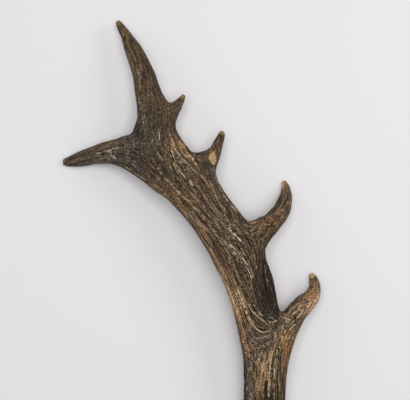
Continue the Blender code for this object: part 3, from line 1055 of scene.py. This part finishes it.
def reckon(tree, operation, first, second=0.0, third=None):
    node = tree.nodes.new("ShaderNodeMath")
    node.operation = operation
    setSocket(tree, node.inputs[0], first)
    setSocket(tree, node.inputs[1], second)
    if third is not None:
        setSocket(tree, node.inputs[2], third)
    return node.outputs[0]


# Rises from 0 to 1 as a value goes from one bound to the other
def between(tree, value, first, last):
    node = tree.nodes.new("ShaderNodeMapRange")
    node.interpolation_type = "SMOOTHSTEP"
    setSocket(tree, node.inputs["Value"], value)
    node.inputs["From Min"].default_value = first
    node.inputs["From Max"].default_value = last
    return node.outputs["Result"]


def scaled(tree, vector, factor):
    node = tree.nodes.new("ShaderNodeVectorMath")
    node.operation = "SCALE"
    setSocket(tree, node.inputs[0], vector)
    setSocket(tree, node.inputs["Scale"], factor)
    return node.outputs[0]


def noiseAt(tree, vector, detail, roughness=0.6):
    node = tree.nodes.new("ShaderNodeTexNoise")
    node.inputs["Scale"].default_value = 1.0
    node.inputs["Detail"].default_value = detail
    node.inputs["Roughness"].default_value = roughness
    tree.links.new(vector, node.inputs["Vector"])
    return node.outputs["Fac"]


# Lines finer than the mesh. They keep to the grain, because the combed fields hardly change along it
def makeBarkLines():
    inputs = [(name, "Float") for name in ("Ridge", "Thread", "Line", "Weave", "Rubbed", "Mottle")]
    outputs = [(name, "Float") for name in ("Fine", "Crest", "Crack", "Speck", "Valley")]
    tree, given, result = newGroup("barkLines", [*inputs, ("Place", "Vector")], outputs)
    across = tree.nodes.new("ShaderNodeCombineXYZ")
    for axis, label in (("X", "Line"), ("Y", "Weave")):
        spread = reckon(tree, "MULTIPLY", given.outputs[label], bark["linesAcross"])
        tree.links.new(spread, across.inputs[axis])
    place = given.outputs["Place"]
    finer = tree.nodes.new("ShaderNodeVectorMath")
    tree.links.new(across.outputs[0], finer.inputs[0])
    tree.links.new(scaled(tree, place, bark["linesPerMetre"]), finer.inputs[1])
    fine = noiseAt(tree, finer.outputs[0], 2.0, 0.5)
    fine = reckon(tree, "MULTIPLY_ADD", given.outputs["Thread"], bark["threadContrast"], fine)
    mottled = noiseAt(tree, scaled(tree, place, bark["mottlesPerMetre"]), 2.0)
    mottled = reckon(tree, "SUBTRACT", mottled, fine)
    fine = reckon(tree, "MULTIPLY_ADD", mottled, given.outputs["Mottle"], fine)
    pores = noiseAt(tree, scaled(tree, place, bark["poresPerMetre"]), 1.0)
    pores = reckon(tree, "SUBTRACT", pores, 0.5)
    fine = reckon(tree, "MULTIPLY_ADD", pores, bark["poreContrast"], fine)
    tree.links.new(between(tree, fine, 0.38, 0.67), result.inputs["Fine"])
    broken = noiseAt(tree, scaled(tree, place, bark["breaksPerMetre"]), 1.0)
    offCrest = reckon(tree, "ABSOLUTE", given.outputs["Ridge"])
    kept = reckon(tree, "MULTIPLY_ADD", given.outputs["Rubbed"], 0.2, broken)
    kept = between(tree, kept, 0.49, 0.58)
    crest = reckon(tree, "MULTIPLY", between(tree, offCrest, 0.46, 0.14), kept)
    tree.links.new(crest, result.inputs["Crest"])
    tree.links.new(between(tree, offCrest, 0.9, 2.2), result.inputs["Valley"])
    fleckAt = tree.nodes.new("ShaderNodeVectorMath")
    tree.links.new(scaled(tree, across.outputs[0], 1.3), fleckAt.inputs[0])
    tree.links.new(scaled(tree, place, bark["flecksPerMetre"]), fleckAt.inputs[1])
    fleck = noiseAt(tree, fleckAt.outputs[0], 1.0)
    tree.links.new(between(tree, fleck, 0.61, 0.69), result.inputs["Speck"])
    crack = between(tree, given.outputs["Thread"], -0.9, -1.7)
    crack = reckon(tree, "MAXIMUM", crack, between(tree, fleck, 0.40, 0.33))
    tree.links.new(crack, result.inputs["Crack"])
    return tree


def readMask(tree, name):
    node = tree.nodes.new("ShaderNodeAttribute")
    node.attribute_name = name
    return node.outputs["Fac"]


def placeGroup(tree, group, values):
    node = tree.nodes.new("ShaderNodeGroup")
    node.node_tree = group
    for label, value in values.items():
        setSocket(tree, node.inputs[label], value)
    return node.outputs


maskNames = [*patches, "hollowStainAndShade", "rubbed", "bone", "polish", "mottle"]
lineNames = ["fine", "crest", "crack", "speck", "valley"]


# The bark's colour from its masks, laid over one another as they were stained and rubbed, with painted
# shade in the hollows and on the sides, and a painted sheen and highlight on two tines
def makeBarkTone():
    inputs = [(name, "Float") for name in maskNames + lineNames]
    tree, given, result = newGroup("barkTone", inputs, [("Colour", "Color")])
    got = given.outputs
    onLines = reckon(tree, "MULTIPLY_ADD", got["fine"], bark["stainOnLines"], bark["stainBetween"])
    tone = bark["base"]
    for name in ("tan", "strawAndSheen", "gold", "grey", "red", "dark"):
        tone = mixColours(tree, tone, bark[name], reckon(tree, "MULTIPLY", got[name], onLines))
    softer = reckon(tree, "MULTIPLY_ADD", got["polish"], bark["polishSoftens"], 1.0)
    softer = reckon(tree, "MULTIPLY_ADD", got["tan"], bark["tanSoftens"], softer)
    combed = reckon(tree, "MULTIPLY_ADD", got["mottle"], 0.15, bark["valleyShade"])
    fine = reckon(tree, "MULTIPLY_ADD", got["valley"], combed, got["fine"])
    fine = reckon(tree, "SUBTRACT", fine, bark["middleLine"])
    fine = reckon(tree, "MULTIPLY_ADD", fine, softer, 0.5)
    gain = reckon(tree, "POWER", bark["palestLine"] / bark["darkestLine"], fine)
    tone = scaled(tree, tone, reckon(tree, "MULTIPLY", gain, bark["darkestLine"]))
    # Painted shade in the hollows, laid on together with their dark stain
    hollowStainAndShadeAmount = reckon(tree, "MULTIPLY", got["hollowStainAndShade"], bark["grooveShade"])
    tone = mixColours(tree, tone, bark["hollowStainAndShade"], hollowStainAndShadeAmount)
    tone = mixColours(tree, tone, bark["hollowStainAndShade"], reckon(tree, "MULTIPLY", got["crack"], softer))
    dots = reckon(tree, "MULTIPLY", got["speck"], bark["speckShade"])
    pale = reckon(tree, "MULTIPLY", reckon(tree, "MAXIMUM", got["crest"], dots), got["cream"])
    pale = reckon(tree, "MAXIMUM", pale, reckon(tree, "MULTIPLY", got["crest"], got["rubbed"]))
    tone = mixColours(tree, tone, bark["cream"], pale)
    tone = mixColours(tree, tone, bark["bone"], reckon(tree, "MULTIPLY", got["bone"], onLines))
    tree.links.new(tone, result.inputs["Colour"])
    return tree


def makeBark(barkLines, barkTone):
    material = bpy.data.materials.new("antlerBark")
    material.use_nodes = True
    tree = material.node_tree
    shader = tree.nodes["Principled BSDF"]
    where = tree.nodes.new("ShaderNodeTexCoord")
    masks = {name: readMask(tree, name) for name in maskNames}
    fields = {"Ridge": "ridgeField", "Thread": "fineField", "Line": "lineField", "Weave": "weaveField"}
    given = {label: readMask(tree, name) for label, name in fields.items()}
    given["Rubbed"] = masks["rubbed"]
    given["Mottle"] = masks["mottle"]
    given["Place"] = where.outputs["Object"]
    lines = placeGroup(tree, barkLines, given)
    masks.update({name: lines[name.title()] for name in lineNames})
    tree.links.new(placeGroup(tree, barkTone, masks)["Colour"], shader.inputs["Base Color"])
    gloss = bark["polishedTine"] - bark["roughBark"]
    gloss = reckon(tree, "MULTIPLY_ADD", masks["polish"], gloss, bark["roughBark"])
    gloss = reckon(tree, "MULTIPLY_ADD", masks["hollowStainAndShade"], 0.2, gloss)
    tree.links.new(gloss, shader.inputs["Roughness"])
    bump = tree.nodes.new("ShaderNodeBump")
    bump.inputs["Distance"].default_value = bark["lineHeight"]
    rougher = reckon(tree, "MULTIPLY_ADD", masks["polish"], -0.75, 1.0)
    height = reckon(tree, "SUBTRACT", lines["Fine"], reckon(tree, "MULTIPLY", lines["Crack"], 0.8))
    tree.links.new(reckon(tree, "MULTIPLY", height, rougher), bump.inputs["Height"])
    tree.links.new(bump.outputs["Normal"], shader.inputs["Normal"])
    shader.inputs["Specular IOR Level"].default_value = 0.2
    return material


sawnBone = {
    "rim": shade(196, 178, 146),
    "core": shade(150, 122, 88),
    "pores": shade(70, 50, 34),
    "coreStarts": 0.0102,  # from the middle of the face, metres
    "coreEnds": 0.0135,
    "unevenness": 0.012,
    "bumpsPerMetre": 110.0,
    "poresPerMetre": 560.0,
    "poreSize": 0.33,
}


def makeSawnBone():
    material = bpy.data.materials.new("sawnBone")
    material.use_nodes = True
    tree = material.node_tree
    shader = tree.nodes["Principled BSDF"]
    where = tree.nodes.new("ShaderNodeTexCoord")
    centred = tree.nodes.new("ShaderNodeMapping")
    centred.inputs["Location"].default_value = [-c * mm for c in skin["footAt"]]
    tree.links.new(where.outputs["Object"], centred.inputs["Vector"])
    length = tree.nodes.new("ShaderNodeVectorMath")
    length.operation = "LENGTH"
    tree.links.new(centred.outputs["Vector"], length.inputs[0])
    inside = tree.nodes.new("ShaderNodeMapRange")
    inside.interpolation_type = "SMOOTHSTEP"
    inside.inputs["From Min"].default_value = sawnBone["coreEnds"]
    inside.inputs["From Max"].default_value = sawnBone["coreStarts"]
    uneven = noiseAt(tree, scaled(tree, where.outputs["Object"], sawnBone["bumpsPerMetre"]), 2.0)
    uneven = reckon(tree, "SUBTRACT", uneven, 0.5)
    reach = reckon(tree, "MULTIPLY_ADD", uneven, sawnBone["unevenness"], length.outputs["Value"])
    tree.links.new(reach, inside.inputs["Value"])
    pores = tree.nodes.new("ShaderNodeTexVoronoi")
    pores.inputs["Scale"].default_value = sawnBone["poresPerMetre"]
    tree.links.new(where.outputs["Object"], pores.inputs["Vector"])
    porous = reckon(tree, "LESS_THAN", pores.outputs["Distance"], sawnBone["poreSize"])
    porous = reckon(tree, "MULTIPLY", inside.outputs["Result"], porous)
    tone = mixColours(tree, sawnBone["rim"], sawnBone["core"], inside.outputs["Result"])
    tone = mixColours(tree, tone, sawnBone["pores"], porous)
    tree.links.new(tone, shader.inputs["Base Color"])
    shader.inputs["Roughness"].default_value = 0.7
    return material


studio = {
    "cameraAt": (0.0132, 0.0420, 1.640),
    "lens": 156.1,
    "floorTone": shade(237, 236, 238),
    "worldTone": (0.95, 0.96, 1.0, 1.0),
    "worldStrength": 0.21,
    "lamps": [
        ("overheadLamp", (0.10, 0.20, 2.20), 1.20, 31.0, (1.0, 0.99, 0.97)),
        ("rightLamp", (0.95, 0.30, 0.95), 0.60, 3.4, (1.0, 0.98, 0.96)),
        ("leftLamp", (-1.00, 0.45, 0.90), 0.80, 1.5, (0.97, 0.98, 1.0)),
    ],
}


def setUpStudio():
    scene = bpy.context.scene
    bpy.ops.object.select_all(action="DESELECT")
    bpy.ops.object.camera_add(location=studio["cameraAt"], rotation=(0, 0, 0))
    camera = bpy.context.object
    camera.name = "camera"
    camera.data.lens = studio["lens"]
    camera.data.sensor_width = 36
    camera.data.clip_start = 0.01
    scene.camera = camera
    bpy.ops.mesh.primitive_plane_add(size=12, location=(0, 0, 0))
    floor = bpy.context.object
    floor.name = "floor"
    pale = bpy.data.materials.new("paleFloor")
    pale.use_nodes = True
    shader = pale.node_tree.nodes["Principled BSDF"]
    shader.inputs["Base Color"].default_value = studio["floorTone"]
    shader.inputs["Roughness"].default_value = 0.9
    shader.inputs["Specular IOR Level"].default_value = 0.1
    floor.data.materials.append(pale)
    for name, place, size, watts, tone in studio["lamps"]:
        bpy.ops.object.light_add(type="AREA", location=place)
        lamp = bpy.context.object
        lamp.name = name
        lamp.data.size = size
        lamp.data.energy = watts
        lamp.data.color = tone
        lamp.rotation_euler = (-Vector(place)).to_track_quat("-Z", "Y").to_euler()
    world = bpy.data.worlds.new("paleRoom")
    world.use_nodes = True
    background = world.node_tree.nodes["Background"]
    background.inputs["Color"].default_value = studio["worldTone"]
    background.inputs["Strength"].default_value = studio["worldStrength"]
    scene.world = world
    scene.view_settings.view_transform = "Standard"


setUpStudio()
print("studio")
limbs = {name: Branch(rows) for name, rows in branches.items()}
whole = fusedSkin()
edges = readEdges(whole.data)
points = evened(readPoints(whole.data), edges, skin["evenRounds"])
writePoints(whole.data, points)
print("skin", len(points), "vertices")
reading = BarkReading(points, readNormals(whole.data))
print("streaks")
height = barkHeight(reading)
carved = points + reading.normals * height[:, None]
carved[:, 2] = np.maximum(carved[:, 2], 0.0)
writePoints(whole.data, carved)
for name, values in barkMasks(reading, height, edges).items():
    addFloats(whole.data, name, np.clip(values, 0.0, 1.0))
for name, values in lineFields(reading, edges).items():
    addFloats(whole.data, name, values)
addVector(whole.data, "evenNormal", readNormals(whole.data))
print("bark carved")
nodeNames = ["beam", *partings]
pieces = splitAtForks(whole, nodeNames)
materials = [makeBark(makeBarkLines(), makeBarkTone()), makeSawnBone()]
for piece, node in zip(pieces, nodeNames):
    for material in materials[: 2 if node == "beam" else 1]:
        piece.data.materials.append(material)
    keepEvenNormals(piece.data)
    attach(piece, "root")
    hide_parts(node)
    print(piece.name, len(piece.data.polygons), "faces")
